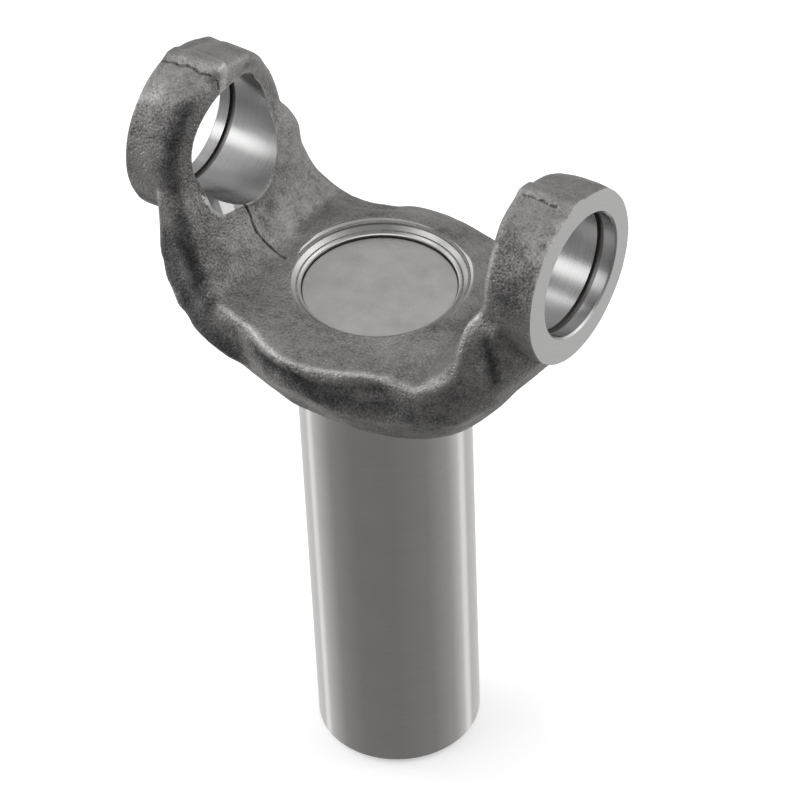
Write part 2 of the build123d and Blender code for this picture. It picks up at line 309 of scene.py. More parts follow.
def lathe(profile, axis, segments=192):
    """Closed solid turned from (radius, place along the axis) pairs, the first and last on the axis."""
    points = []
    rings = []
    for radius, along in profile:
        count = 1 if radius == 0 else segments
        rings.append((len(points), count))
        for index in range(count):
            angle = 2 * math.pi * index / segments
            across = (radius * math.cos(angle), radius * math.sin(angle))
            points.append((along,) + across if axis == "x" else across + (along,))
    faces = []
    for (first, count), (second, other) in zip(rings, rings[1:]):
        for index in range(segments):
            after = (index + 1) % segments
            corners = [first + index % count, first + after % count, second + after % other,
                       second + index % other]
            face = []
            for corner in corners:
                if corner not in face:
                    face.append(corner)
            faces.append(face)
    return points, faces


def moved(shape, offset):
    """Points and faces of a shape, moved."""
    points, faces = shape
    return [tuple(Vector(point) + Vector(offset)) for point in points], faces


def cross_bore_cutter():
    """Takes the ear faces' stock, the through bore, its snap ring grooves and its edge chamfers."""
    wide = 30 * MM
    beyond = face_half_span + 3 * FACE_STOCK
    half = [(wide, face_half_span), (bore_radius + BORE_CHAMFER, face_half_span),
            (bore_radius, face_half_span - BORE_CHAMFER), (bore_radius, GROOVE_HALF_SPAN + GROOVE_WIDTH),
            (bore_radius + GROOVE_DEPTH, GROOVE_HALF_SPAN + GROOVE_WIDTH),
            (bore_radius + GROOVE_DEPTH, GROOVE_HALF_SPAN), (bore_radius, GROOVE_HALF_SPAN)]
    profile = [(0, beyond), (wide, beyond)] + half
    profile += [(radius, -along) for radius, along in reversed(half)] + [(wide, -beyond), (0, -beyond)]
    return moved(lathe(profile, "x"), (0, 0, bore_axis))


def arm_inside(y, z):
    """Distance along X of an arm's inside surface at a place."""
    insets, levels = zip(*reversed(INNER_OUTLINE))
    half = EAR_INNER_HALF_SPAN - float(np.interp((z - floor_height) / MM, levels, insets)) * MM
    return half + ARM_SLOPE * abs(y - FORGING_OFFSET)


def bevel_width(angle, widths):
    """Width in mm of a deburred stretch of a bore's rim at an angle, and 0 beyond it."""
    turns, sizes = zip(*widths)
    return np.interp(angle, turns, sizes, left=0, right=0)


def rim_bevel_cutter(side, widths):
    """Wedge at 45 degrees run round part of a bore's inner rim."""
    first_angle, last_angle = widths[0][0], widths[-1][0]
    angles = np.arange(first_angle, last_angle + 0.1, 3.0)
    points = []
    reach = 4 * MM
    overlap = 0.2 * MM
    worn_off = 0.15 * MM
    deep = bore_radius - overlap
    for angle in angles:
        width = float(bevel_width(angle, widths)) * MM
        across = math.cos(math.radians(angle))
        upward = math.sin(math.radians(angle))
        rim = arm_inside(bore_radius * across, bore_axis + bore_radius * upward)
        start = rim + width - worn_off
        corners = ((deep, start + overlap), (deep, start - reach), (bore_radius + reach, start - reach))
        for radius, half in corners:
            points.append((side * half, radius * across, bore_axis + radius * upward))
    faces = []
    for index in range(len(angles) - 1):
        for corner in range(3):
            after = (corner + 1) % 3
            near, far = 3 * index, 3 * index + 3
            faces.append([near + corner, near + after, far + after, far + corner])
    last = 3 * (len(angles) - 1)
    faces += [[0, 2, 1], [last, last + 1, last + 2]]
    return points, faces


def counterbore_cutter():
    """Takes the stepped mouth, the plug's seat and the relief down to the teeth."""
    top = floor_height + 2 * MM
    profile = [(0, top), (MOUTH_STEPS[0][0] * MM, top)]
    profile += [(radius * MM, floor_height - depth * MM) for radius, depth in MOUTH_STEPS]
    profile += [(LIP_RADIUS, plug_high.z + LIP_HIGH), (LIP_RADIUS, plug_high.z + LIP_LOW),
                (seat_radius, plug_high.z + LIP_LOW), (seat_radius, plug_low.z),
                (RELIEF_RADIUS, plug_low.z), (RELIEF_RADIUS, toothed_length), (0, toothed_length)]
    return lathe(profile, "z")


def prism_faces(count):
    """Faces of a prism whose points are a lower outline and then an upper one."""
    faces = []
    for index in range(count):
        after = (index + 1) % count
        faces.append([index, after, count + after, count + index])
    return faces + [list(range(count))[::-1], list(range(count, 2 * count))]


def spline_cutter():
    """Takes the toothed bore: tooth tips on one circle, gaps down to the root circle."""
    outline = []
    pitch = 2 * math.pi / TOOTH_COUNT
    for index in range(TOOTH_COUNT):
        centre = pitch * index
        tip = (tooth_tip_radius, GAP_TIP_SHARE)
        root = (TOOTH_ROOT_RADIUS, GAP_ROOT_SHARE)
        for (radius, share), side in ((tip, -1), (root, -1), (root, 1), (tip, 1)):
            angle = centre + side * pitch * share / 2
            outline.append((radius * math.cos(angle), radius * math.sin(angle)))
    low = -1 * MM
    high = toothed_length + 0.5 * MM
    points = [(x, y, low) for x, y in outline] + [(x, y, high) for x, y in outline]
    return points, prism_faces(len(outline))


def entry_cutter():
    """Takes the chamfered entry to the teeth."""
    rate = (ENTRY_RADIUS - tooth_tip_radius) / ENTRY_DEPTH
    below = 1 * MM
    return lathe([(0, -below), (ENTRY_RADIUS + below * rate, -below), (tooth_tip_radius, ENTRY_DEPTH),
                  (0, ENTRY_DEPTH)], "z")


def shoulder_cutter():
    """Takes the blank's stub and the turned shoulder round the barrel."""
    below = STUB_BOTTOM - 10 * MM
    return lathe([(0, below), (shoulder_radius, below), (shoulder_radius, shoulder_height),
                  (0, shoulder_height)], "z")


def barrel_solid():
    """Turned barrel, from its chamfered open end up into the saddle."""
    top = floor_height - 6 * MM
    return lathe([(0, 0), (barrel_radius - BARREL_CHAMFER, 0), (barrel_radius, BARREL_CHAMFER),
                  (barrel_radius, top), (0, top)], "z")


def gabled_disc(radius, bottom, segments=64):
    """Disc whose top falls away on both sides like the forged floor, in two halves."""
    shapes = []
    for side in (-1, 1):
        rim = [(radius * math.cos(angle), side * radius * math.sin(angle))
               for angle in np.linspace(0, math.pi, segments)]
        points = [(x, y + FORGING_OFFSET, bottom) for x, y in rim]
        points += [(x, y + FORGING_OFFSET, floor_height - FLOOR_SLOPE * abs(y)) for x, y in rim]
        shapes.append((points, prism_faces(len(rim))))
    return shapes


def coordinates(mesh):
    """Array of a mesh's points."""
    flat = np.empty(len(mesh.vertices) * 3)
    mesh.vertices.foreach_get("co", flat)
    return flat.reshape(-1, 3)


def set_coordinates(mesh, points):
    """Writes an array of points back to a mesh."""
    mesh.vertices.foreach_set("co", np.ascontiguousarray(points, dtype=np.float32).ravel())
    mesh.update()


def joined(shapes):
    """One mesh of several shapes' points and faces."""
    points, faces = [], []
    for some_points, some_faces in shapes:
        start = len(points)
        points += [tuple(point) for point in some_points]
        faces += [[start + corner for corner in face] for face in some_faces]
    return mesh_from(points, faces)


def applied(thing):
    """Mesh of an object with its modifiers applied. The object is removed."""
    depsgraph = bpy.context.evaluated_depsgraph_get()
    mesh = bpy.data.meshes.new_from_object(thing.evaluated_get(depsgraph))
    bpy.data.objects.remove(thing)
    return mesh


def bore_filling(side, radius, segments=72, rings=9):
    """Plug for one cross bore, whose inner end lies on the arm's inside surface."""
    outer = side * (face_half_span + FACE_STOCK)
    inner_points = []
    outer_points = []
    for ring in range(rings + 1):
        for index in range(segments):
            angle = 2 * math.pi * index / segments
            y = radius * ring / rings * math.cos(angle)
            z = bore_axis + radius * ring / rings * math.sin(angle)
            inner_points.append((side * arm_inside(y, z), y, z))
            outer_points.append((outer, y, z))
    faces = []
    for start in (0, len(inner_points)):
        for ring in range(rings):
            for index in range(segments):
                near = start + ring * segments
                far = near + segments
                after = (index + 1) % segments
                face = [near + index, far + index, far + after, near + after]
                faces.append(face if start else face[::-1])
    last = rings * segments
    total = len(inner_points)
    for index in range(segments):
        after = (index + 1) % segments
        faces.append([last + index, last + after, total + last + after, total + last + index])
    return inner_points + outer_points, faces


def forged_blank():
    """Forged body before machining: bores filled, ear faces left long, skin remade at a fine pitch."""
    source = frame["nodes"]["forged_yoke"].data
    points = coordinates(source)
    faces = [list(polygon.vertices) for polygon in source.polygons]
    from_bore_axis = np.hypot(points[:, 1], points[:, 2] - bore_axis)
    on_face = np.abs(points[:, 0]) > face_half_span - 0.05 * MM
    on_face &= from_bore_axis > bore_radius + 0.2 * MM
    points[on_face, 0] += np.sign(points[on_face, 0]) * FACE_STOCK
    points[:, 2] = np.maximum(points[:, 2], STUB_BOTTOM)
    long_half = face_half_span + FACE_STOCK
    chamfer_fill = (bore_radius + BORE_CHAMFER + FILL_OVERLAP, CHAMFER_FILL_START, long_half)
    groove_fill = (bore_radius + GROOVE_DEPTH + FILL_OVERLAP, GROOVE_FILL_START, GROOVE_FILL_END)
    shapes = [(points, faces)]
    for side in (-1, 1):
        shapes.append(bore_filling(side, bore_radius + 0.1 * MM))
        for radius, near, far in (chamfer_fill, groove_fill):
            start = side * near
            end = side * far
            fill = lathe([(0, start), (radius, start), (radius, end), (0, end)], "x", 64)
            shapes.append(moved(fill, (0, 0, bore_axis)))
    shapes += gabled_disc(FLOOR_FILL_RADIUS, floor_height - FLOOR_FILL_DEPTH)
    core_top = floor_height - CORE_DEPTH
    core = [(0, STUB_BOTTOM), (CORE_RADIUS, STUB_BOTTOM), (CORE_RADIUS, core_top), (0, core_top)]
    shapes.append(lathe(core, "z", 64))
    thing = new_object("blank", joined(shapes))
    remesh = thing.modifiers.new("remesh", "REMESH")
    remesh.mode = "VOXEL"
    remesh.voxel_size = VOXEL_SIZE
    return applied(thing)


def outward(shape):
    """Shape with its faces turned to look outward."""
    points, faces = shape
    volume = 0.0
    for face in faces:
        first = Vector(points[face[0]])
        for second, third in zip(face[1:], face[2:]):
            volume += first.dot(Vector(points[second]).cross(Vector(points[third])))
    return (points, faces) if volume > 0 else (points, [face[::-1] for face in faces])


def cut(mesh, shape, operation="DIFFERENCE"):
    """Mesh after one boolean with a shape."""
    thing = new_object("work", mesh)
    tool = new_object("tool", mesh_from(*outward(shape)))
    boolean = thing.modifiers.new("cut", "BOOLEAN")
    boolean.operation = operation
    boolean.solver = "MANIFOLD"
    boolean.object = tool
    result = applied(thing)
    bpy.data.objects.remove(tool)
    return result


def value_noise(points, wavelength, seed):
    """Smooth noise between -1 and 1 at each point, with features about one wavelength wide."""
    size = 32
    random = np.random.default_rng(seed)
    table = random.uniform(-1, 1, (size, size, size))
    scaled = points / wavelength + random.uniform(0, size, 3)
    cell = np.floor(scaled).astype(int)
    part = scaled - cell
    part = part * part * (3 - 2 * part)
    total = np.zeros(len(points))
    for corner in np.ndindex(2, 2, 2):
        weight = np.ones(len(points))
        for axis in range(3):
            weight *= part[:, axis] if corner[axis] else 1 - part[:, axis]
        spot = (cell + np.array(corner)) % size
        total += weight * table[spot[:, 0], spot[:, 1], spot[:, 2]]
    return total


def layered_noise(points, layers):
    """Sum of layers of noise, in mm."""
    total = np.zeros(len(points))
    for height, wavelength, seed in layers:
        total += height * value_noise(points, wavelength * MM, seed)
    return total


def step(values, start, end):
    """Smooth rise from 0 at start to 1 at end."""
    part = np.clip((values - start) / (end - start), 0, 1)
    return part * part * (3 - 2 * part)


def edge_pairs(mesh):
    """Array of each edge's two vertices."""
    flat = np.empty(len(mesh.edges) * 2, dtype=np.int64)
    mesh.edges.foreach_get("vertices", flat)
    return flat.reshape(-1, 2)


def smoothed(points, edges, weight, rounds):
    """Points relaxed towards their neighbours' mean, each by its own weight."""
    count = np.bincount(edges.ravel(), minlength=len(points)).astype(float)
    for _ in range(rounds):
        total = np.zeros_like(points)
        for axis in range(3):
            total[:, axis] = (np.bincount(edges[:, 0], points[edges[:, 1], axis], len(points))
                              + np.bincount(edges[:, 1], points[edges[:, 0], axis], len(points)))
        mean = total / np.maximum(count, 1)[:, None]
        points = points + weight[:, None] * 0.5 * (mean - points)
    return points


def normals_of(mesh):
    """Array of a mesh's vertex normals."""
    flat = np.empty(len(mesh.vertices) * 3)
    mesh.vertex_normals.foreach_get("vector", flat)
    return flat.reshape(-1, 3)


def path_distance(points, path):
    """Distance of each point from a line through places given in mm."""
    best = np.full(len(points), 1e9)
    for start, end in zip(path, path[1:]):
        start = np.array(start) * MM
        along = np.array(end) * MM - start
        share = np.clip((points - start) @ along / (along @ along), 0, 1)
        best = np.minimum(best, np.linalg.norm(points - start - share[:, None] * along, axis=1))
    return best


def refine_beside_seams(mesh, reach, rounds):
    """Splits a mesh's faces finer beside the seams, each round in a narrower band."""
    narrowing = 0.62
    for _ in range(rounds):
        points = coordinates(mesh)
        near = np.zeros(len(points), dtype=bool)
        for path in SEAMS:
            near |= path_distance(points, path) < reach
        work = bmesh.new()
        work.from_mesh(mesh)
        work.verts.ensure_lookup_table()
        chosen = [edge for edge in work.edges if near[edge.verts[0].index] and near[edge.verts[1].index]]
        bmesh.ops.subdivide_edges(work, edges=chosen, cuts=1, use_grid_fill=True)
        work.to_mesh(mesh)
        work.free()
        reach *= narrowing


def levelled(points):
    """Points with the floor behind the counterbore raised, so that its mouth is cut in a flat."""
    radius = np.hypot(points[:, 0], points[:, 1])
    level = step(points[:, 1], *LEVEL_ACROSS) * (1 - step(radius, *LEVEL_RADII))
    level *= step(points[:, 2], *(floor_height - depth for depth in LEVEL_DEPTHS))
    points[:, 2] += LEVEL_RISE * level
    return points


def departed(points):
    """Points moved to where this forging's skin lies."""
    total = np.zeros(len(points))
    shift = np.zeros_like(points)
    for place, move in DEPARTURES:
        away = np.linalg.norm(points / MM - np.array(place), axis=1) / DEPARTURE_REACH
        weight = np.exp(-away ** 2)
        total += weight
        shift += weight[:, None] * np.array(move)
    return points + shift / np.maximum(total, 1)[:, None] * MM


def skin_relief(points):
    """Height of the skin over its smooth form, in mm: swell, grain, seams, ridges and dents."""
    relief = layered_noise(points, SWELL) + layered_noise(points, FINE_RELIEF) - SET_BACK
    for index, path in enumerate(SEAMS):
        wander = SEAM_WANDER * MM * value_noise(points, 0.9 * MM, WANDER_SEED + index)
        away = np.maximum(path_distance(points, path) + wander, 0)
        fading = 0.75 + 0.5 * value_noise(points, 2.5 * MM, FADING_SEED + index)
        relief -= SEAM_DEPTHS[index] * fading * np.exp(-(away / (SEAM_HALF_WIDTH * MM)) ** 2)
        lap = points[:, 1] - path[len(path) // 2][1] * MM
        beside = np.exp(-(away / (LAP_REACH * MM)) ** 2)
        relief += LAP_HEIGHT * beside * np.clip(lap / (LAP_RISE * MM), -1, 1)
    for index, (height, width, path) in enumerate(RIDGES):
        uneven = 1 + 0.5 * value_noise(points, 3 * MM, RIDGE_SEED + index)
        relief += height * uneven * np.exp(-(path_distance(points, path) / (width * MM)) ** 2)
    for place, radius, depth in DENTS:
        away = np.linalg.norm(points / MM - np.array(place), axis=1) / radius
        relief -= depth * np.exp(-away ** 2)
    return relief


def shape_skin(mesh):
    """Softens the remade skin and gives it the unevenness of a forging."""
    points = coordinates(mesh)
    edges = edge_pairs(mesh)
    points = smoothed(points, edges, np.ones(len(points)), 3)
    crown = step(points[:, 2], *CROWN_HEIGHTS) * (1 - step(np.abs(points[:, 1]), *CROWN_EDGES))
    points = smoothed(points, edges, crown, 8)
    set_coordinates(mesh, departed(levelled(points)))
    refine_beside_seams(mesh, 1.3 * MM, 2)
    points = coordinates(mesh)
    set_coordinates(mesh, points + normals_of(mesh) * (skin_relief(points) * MM)[:, None])


def on_bevel(centre, normal, out, from_bore, side, widths):
    """Whether each face lies on one deburred stretch of a bore's rim, where that is wide enough to show."""
    angle = np.degrees(np.arctan2(centre[:, 2] - bore_axis, centre[:, 1]))
    width = bevel_width(angle, widths)
    slant = math.sqrt(0.5)
    slack = 0.6
    most_lean = 0.85
    least_width = 1.1
    lean = np.abs(out + slant) + np.abs(-side * normal[:, 0] - slant)
    near_rim = (from_bore > bore_radius) & (from_bore < bore_radius + (width + slack) * MM)
    inside = (np.sign(centre[:, 0]) == side) & (np.abs(centre[:, 0]) < 40 * MM)
    return near_rim & inside & (lean < most_lean) & (width > least_width)


def face_vectors(mesh, name):
    """Array of one vector for each face of a mesh."""
    flat = np.empty(len(mesh.polygons) * 3)
    mesh.polygons.foreach_get(name, flat)
    return flat.reshape(-1, 3)


def surface_kinds(mesh):
    """Kind of surface of each face, told by where it lies and which way it faces."""
    centre = face_vectors(mesh, "center")
    normal = face_vectors(mesh, "normal")
    near = 0.03 * MM
    square = 0.97
    kind = np.full(len(mesh.polygons), FORGED)
    # Cross bores, their grooves, the deburred rims and the ear faces
    across_y = centre[:, 1]
    across_z = centre[:, 2] - bore_axis
    from_bore = np.hypot(across_y, across_z)
    out = (normal[:, 1] * across_y + normal[:, 2] * across_z) / np.maximum(from_bore, 1e-9)
    half = np.abs(centre[:, 0])
    bore = (np.abs(from_bore - bore_radius) < near) & (out < -square)
    groove = (from_bore < bore_radius + GROOVE_DEPTH + near) & (half > GROOVE_HALF_SPAN - near)
    kind[bore | groove] = BORE
    groove &= half < GROOVE_HALF_SPAN + GROOVE_WIDTH + near
    # Painted shade: the grooves' walls and floor take the dark steel
    kind[groove & (from_bore > bore_radius + near)] = PAINTED_RECESS_SHADE
    for side, bevels in RIM_BEVELS.items():
        for widths in bevels:
            kind[on_bevel(centre, normal, out, from_bore, side, widths)] = BORE
    kind[(half > face_half_span - near) & (np.abs(normal[:, 0]) > square)] = EAR_FACE
    # Barrel, splined bore and counterbore
    radius = np.hypot(centre[:, 0], centre[:, 1])
    facing = (normal[:, 0] * centre[:, 0] + normal[:, 1] * centre[:, 1]) / np.maximum(radius, 1e-9)
    under_floor = centre[:, 2] < floor_height - 4 * MM
    ground = (np.abs(radius - barrel_radius) < near) & (facing > square)
    end = centre[:, 2] < BARREL_CHAMFER + near
    kind[under_floor & (ground | end)] = BARREL
    under_plug = centre[:, 2] < plug_low.z - near
    kind[under_plug & (radius < barrel_radius - 2 * MM) & (half < RELIEF_RADIUS + near)] = INSIDE
    mouth = (radius < MOUTH_STEPS[0][0] * MM + near) & (centre[:, 2] > plug_low.z - near)
    mouth &= (centre[:, 2] < floor_height) & ((facing < -0.3) | (centre[:, 2] < plug_high.z))
    kind[mouth] = COUNTERBORE
    # Painted shade: the seat wall's strip just above the plug takes the dark steel
    kind[mouth & (centre[:, 2] < plug_high.z + LIP_HIGH - 0.01 * MM)] = PAINTED_RECESS_SHADE
    return kind


def true_normals(mesh, kind):
    """Corner normals: exact on the turned surfaces, averaged over the skin alone elsewhere."""
    loops = np.empty(len(mesh.loops), dtype=np.int64)
    mesh.loops.foreach_get("vertex_index", loops)
    sizes = np.empty(len(mesh.polygons), dtype=np.int64)
    mesh.polygons.foreach_get("loop_total", sizes)
    face_of_loop = np.repeat(np.arange(len(sizes)), sizes)
    area = np.empty(len(sizes))
    mesh.polygons.foreach_get("area", area)
    points = coordinates(mesh)[loops]
    loop_kind = kind[face_of_loop]
    flat_normal = face_vectors(mesh, "normal")[face_of_loop]
    result = flat_normal.copy()
    skin = loop_kind == FORGED
    total = np.zeros((len(mesh.vertices), 3))
    for axis in range(3):
        share = flat_normal[skin, axis] * area[face_of_loop[skin]]
        total[:, axis] = np.bincount(loops[skin], share, len(mesh.vertices))
    result[skin] = total[loops[skin]]
    # Round walls: radial where the face already looks that way
    round_x = ((BORE, PAINTED_RECESS_SHADE), 1, 2, bore_axis)
    round_z = ((BARREL, COUNTERBORE, INSIDE), 0, 1, 0.0)
    nearly_radial = 0.96
    for kinds, first, second, middle in (round_x, round_z):
        arm = np.zeros_like(points)
        arm[:, first] = points[:, first]
        arm[:, second] = points[:, second] - middle
        arm /= np.maximum(np.linalg.norm(arm, axis=1, keepdims=True), 1e-9)
        along = 3 - first - second
        # A cone's slope is kept, and only the part across the axis turns
        sideways = np.sqrt(np.maximum(1 - flat_normal[:, along] ** 2, 0))
        inward = np.sign((flat_normal * arm).sum(1))
        turned = arm * (inward * sideways)[:, None]
        turned[:, along] = flat_normal[:, along]
        chosen = np.isin(loop_kind, kinds) & ((turned * flat_normal).sum(1) > nearly_radial)
        result[chosen] = turned[chosen]
    result /= np.maximum(np.linalg.norm(result, axis=1, keepdims=True), 1e-12)
    return result


def painted_light_and_seam_scale(points):
    """How far the skin is painted darker, below 0, as shade or as the seams' scale, or painted lighter as
    highlight, above 0.
    """
    total = np.zeros(len(points))
    for index, (strength, width, path) in enumerate(PAINTED_LIGHT_AND_SEAM_SCALE):
        patchy = 1 + 0.45 * value_noise(points, max(1.5 * width, 1.2) * MM, STROKE_SEED + index)
        away = path_distance(points, path) / (width * MM)
        total += strength * patchy * np.exp(-away ** 2)
    return np.clip(total, -1, 1)


def grain_strength(points, normals):
    """How coarse the forged grain is: coarse on walls and on the front half of the die, finer elsewhere."""
    drift = 4 * MM * value_noise(points, 8 * MM, DRIFT_SEED)
    front = 1 - step(points[:, 1] + drift, -14 * MM, 4 * MM)
    walls = 1 - step(normals[:, 2], 0.55, 0.95)
    patches = 0.5 + 0.5 * value_noise(points, 7 * MM, PATCH_SEED)
    least, front_share, patch_share = 0.46, 0.14, 0.15
    return least + front_share * front + front_share * front * walls + patch_share * patches


def build_yoke(materials):
    """The whole yoke as one mesh: forged blank, turned barrel joined on, then every bore and face cut."""
    mesh = forged_blank()
    shape_skin(mesh)
    mesh = cut(mesh, cross_bore_cutter())
    mesh = cut(mesh, shoulder_cutter())
    for side, bevels in RIM_BEVELS.items():
        for widths in bevels:
            mesh = cut(mesh, rim_bevel_cutter(side, widths))
    mesh = cut(mesh, barrel_solid(), "UNION")
    mesh = cut(mesh, counterbore_cutter())
    mesh = cut(mesh, spline_cutter())
    mesh = cut(mesh, entry_cutter())
    mesh.materials.clear()
    for material in materials:
        mesh.materials.append(material)
    kind = surface_kinds(mesh)
    mesh.polygons.foreach_set("material_index", kind.astype(np.int32))
    mesh.polygons.foreach_set("use_smooth", np.ones(len(kind), dtype=bool))
    mesh.update()
    mesh.normals_split_custom_set([tuple(normal) for normal in true_normals(mesh, kind)])
    points = coordinates(mesh)
    normals = normals_of(mesh)
    # The stroke attribute carries painted shade, painted highlights and the seams' darker scale
    for name, values in (("light_and_seam_paint", painted_light_and_seam_scale(points)), ("grain", grain_strength(points, normals))):
        attribute = mesh.attributes.new(name, "FLOAT", "POINT")
        attribute.data.foreach_set("value", values.astype(np.float32))
    return new_object("forged_yoke_body", mesh)


def add(tree, kind, sockets=None, **settings):
    """Node with its settings, each socket given a value or joined to another node's output."""
    node = tree.nodes.new(kind)
    for name, value in settings.items():
        setattr(node, name, value)
    for key, value in (sockets or {}).items():
        if isinstance(value, bpy.types.NodeSocket):
            tree.links.new(value, node.inputs[key])
        else:
            node.inputs[key].default_value = value
    return node


def ramp(tree, value, stops):
    """Colour ramp with its stops, each a place and a grey or a colour."""
    node = add(tree, "ShaderNodeValToRGB", {"Fac": value})
    elements = node.color_ramp.elements
    while len(elements) < len(stops):
        elements.new(0.5)
    for element, (place, colour) in zip(elements, stops):
        element.position = place
    for element, (place, colour) in zip(elements, stops):
        element.color = (*colour, 1) if isinstance(colour, tuple) else (colour, colour, colour, 1)
    return node.outputs["Color"]


def maths(tree, operation, *values):
    """Result of one sum on numbers or sockets."""
    node = add(tree, "ShaderNodeMath", dict(enumerate(values)), operation=operation)
    return node.outputs[0]


def weighted(tree, *pairs):
    """Sum of values, each times its weight."""
    total = None
    for value, weight in pairs:
        part = maths(tree, "MULTIPLY", value, weight)
        total = part if total is None else maths(tree, "ADD", total, part)
    return total


def ranged(tree, value, source, target=(0.0, 1.0), **settings):
    """Value moved from one range to another, and held at the range's ends."""
    sockets = {"Value": value, "From Min": source[0], "From Max": source[1], "To Min": target[0],
               "To Max": target[1]}
    return add(tree, "ShaderNodeMapRange", sockets, **settings).outputs[0]


def noise(tree, place, wavelength, detail=2.0):
    """Smooth noise over a place in millimetres, with features about one wavelength wide."""
    node = add(tree, "ShaderNodeTexNoise", {"Vector": place, "Scale": 1 / wavelength, "Detail": detail})
    return node.outputs[0]


def new_material(name):
    """Material with its tree, its shader and the place on the object in millimetres."""
    material = bpy.data.materials.new(name)
    material.use_nodes = True
    tree = material.node_tree
    shader = tree.nodes["Principled BSDF"]
    where = add(tree, "ShaderNodeTexCoord").outputs["Object"]
    millimetres = add(tree, "ShaderNodeVectorMath", {0: where, "Scale": 1 / MM}, operation="SCALE")
    return material, tree, shader, millimetres.outputs[0]


def stretched(tree, place, scales):
    """Place with each axis scaled by itself."""
    return add(tree, "ShaderNodeVectorMath", {0: place, 1: scales}, operation="MULTIPLY").outputs[0]


def from_axis(tree, place, axis, centre):
    """Distance from an axis through a centre, in millimetres."""
    moved_place = add(tree, "ShaderNodeVectorMath", {0: place, 1: centre}, operation="SUBTRACT").outputs[0]
    across = (0, 1, 1) if axis == "x" else (1, 1, 0)
    flat = stretched(tree, moved_place, across)
    return add(tree, "ShaderNodeVectorMath", {0: flat}, operation="LENGTH").outputs["Value"]


def bump(tree, shader, height, depth):
    """Relief of a depth in millimetres on a shader's surface."""
    node = add(tree, "ShaderNodeBump", {"Height": height, "Distance": depth * MM, "Strength": 1.0})
    tree.links.new(node.outputs[0], shader.inputs["Normal"])


def set_surface(tree, shader, colour, gloss, metallic=1.0):
    """Joins a colour and a roughness to a shader, and sets how metallic it is."""
    tree.links.new(colour, shader.inputs["Base Color"])
    tree.links.new(gloss, shader.inputs["Roughness"])
    shader.inputs["Metallic"].default_value = metallic


def forged_skin_material():
    """Shot-blasted forging scale: dark warm grey with fine grain and pits; convex edges painted lighter as
    edge wear and highlight, hollows painted darker as shade, and painted shade, highlight and seam strokes
    added.
    """
    material, tree, shader, place = new_material("forged_skin")
    grain = add(tree, "ShaderNodeAttribute", attribute_name="grain").outputs["Fac"]
    fine = noise(tree, place, 0.52, 3.0)
    middle = noise(tree, place, 2.4, 2.0)
    broad = noise(tree, place, 11.0, 3.0)
    pits = add(tree, "ShaderNodeTexVoronoi", {"Vector": place, "Scale": 1 / 1.1}).outputs["Distance"]
    pit_mask = ranged(tree, pits, (0.0, 0.42), interpolation_type="SMOOTHSTEP")
    speckle = maths(tree, "MULTIPLY", maths(tree, "SUBTRACT", fine, 0.5), grain)
    tone = weighted(tree, (speckle, 0.9), (broad, 0.55), (middle, 0.3))
    # Convex edges are painted lighter as edge wear and painted highlight, and hollows darker as painted shade
    edge = add(tree, "ShaderNodeNewGeometry").outputs["Pointiness"]
    edge_wear_and_painted_light = ranged(tree, edge, (0.47, 0.56), (-0.12, 0.2))
    tone = maths(tree, "ADD", tone, edge_wear_and_painted_light)
    # Painted shade and painted highlights from the strokes, with the seams' darker scale
    light_and_seam_paint = add(tree, "ShaderNodeAttribute", attribute_name="light_and_seam_paint").outputs["Fac"]
    tone = maths(tree, "ADD", tone, maths(tree, "MULTIPLY", light_and_seam_paint, 0.45))
    colour = ramp(tree, tone, [(0.05, (0.055, 0.054, 0.056)), (0.25, (0.14, 0.136, 0.135)),
                               (0.42, (0.25, 0.243, 0.237)), (0.6, (0.325, 0.317, 0.31)),
                               (0.9, (0.52, 0.51, 0.5))])
    set_surface(tree, shader, colour, ranged(tree, tone, (0.2, 0.8), (0.62, 0.42)), 0.85)
    height = weighted(tree, (fine, 0.65), (pit_mask, 0.35))
    bump(tree, shader, maths(tree, "MULTIPLY", height, grain), 0.4)
    return material


def turned_material(name, colour, roughness, axis, centre, pitch, depth, mottle=0.06):
    """Steel faced on a lathe: fine rings round an axis, and a slightly uneven sheen."""
    material, tree, shader, place = new_material(name)
    radius = from_axis(tree, place, axis, centre)
    ring_place = add(tree, "ShaderNodeCombineXYZ", {"X": radius}).outputs[0]
    rings = noise(tree, ring_place, pitch, 3.0)
    clouds = noise(tree, place, 5.0, 4.0)
    shade = weighted(tree, (rings, 0.5), (clouds, 0.5))
    low = tuple(part * (1 - 2 * mottle) for part in colour)
    high = tuple(part * (1 + 2 * mottle) for part in colour)
    gloss = ranged(tree, clouds, (0.3, 0.7), (roughness - 0.04, roughness + 0.05))
    set_surface(tree, shader, ramp(tree, shade, [(0.3, low), (0.7, high)]), gloss)
    bump(tree, shader, rings, depth)
    return material


def bored_material(name, colour, roughness, scales, depth, mottle=1.0, streaks=None):
    """Steel bored or ground round an axis: fine lines round it, over soft clouds or over streaks."""
    material, tree, shader, place = new_material(name)
    lines = noise(tree, stretched(tree, place, scales), 1.0, 4.0)
    low = tuple(part * (1 - 0.1 * mottle) for part in colour)
    high = tuple(part * (1 + 0.08 * mottle) for part in colour)
    if streaks:
        smears = noise(tree, stretched(tree, place, streaks), 1.0, 2.0)
        shade = weighted(tree, (lines, 0.25), (smears, 0.75))
    else:
        clouds = noise(tree, place, 7.0, 4.0)
        shade = weighted(tree, (lines, 0.5), (clouds, 0.5))
    gloss = ranged(tree, shade, (0.3, 0.7), (roughness - 0.03 * mottle, roughness + 0.04 * mottle))
    set_surface(tree, shader, ramp(tree, shade, [(0.32, low), (0.68, high)]), gloss)
    bump(tree, shader, lines, depth)
    return material


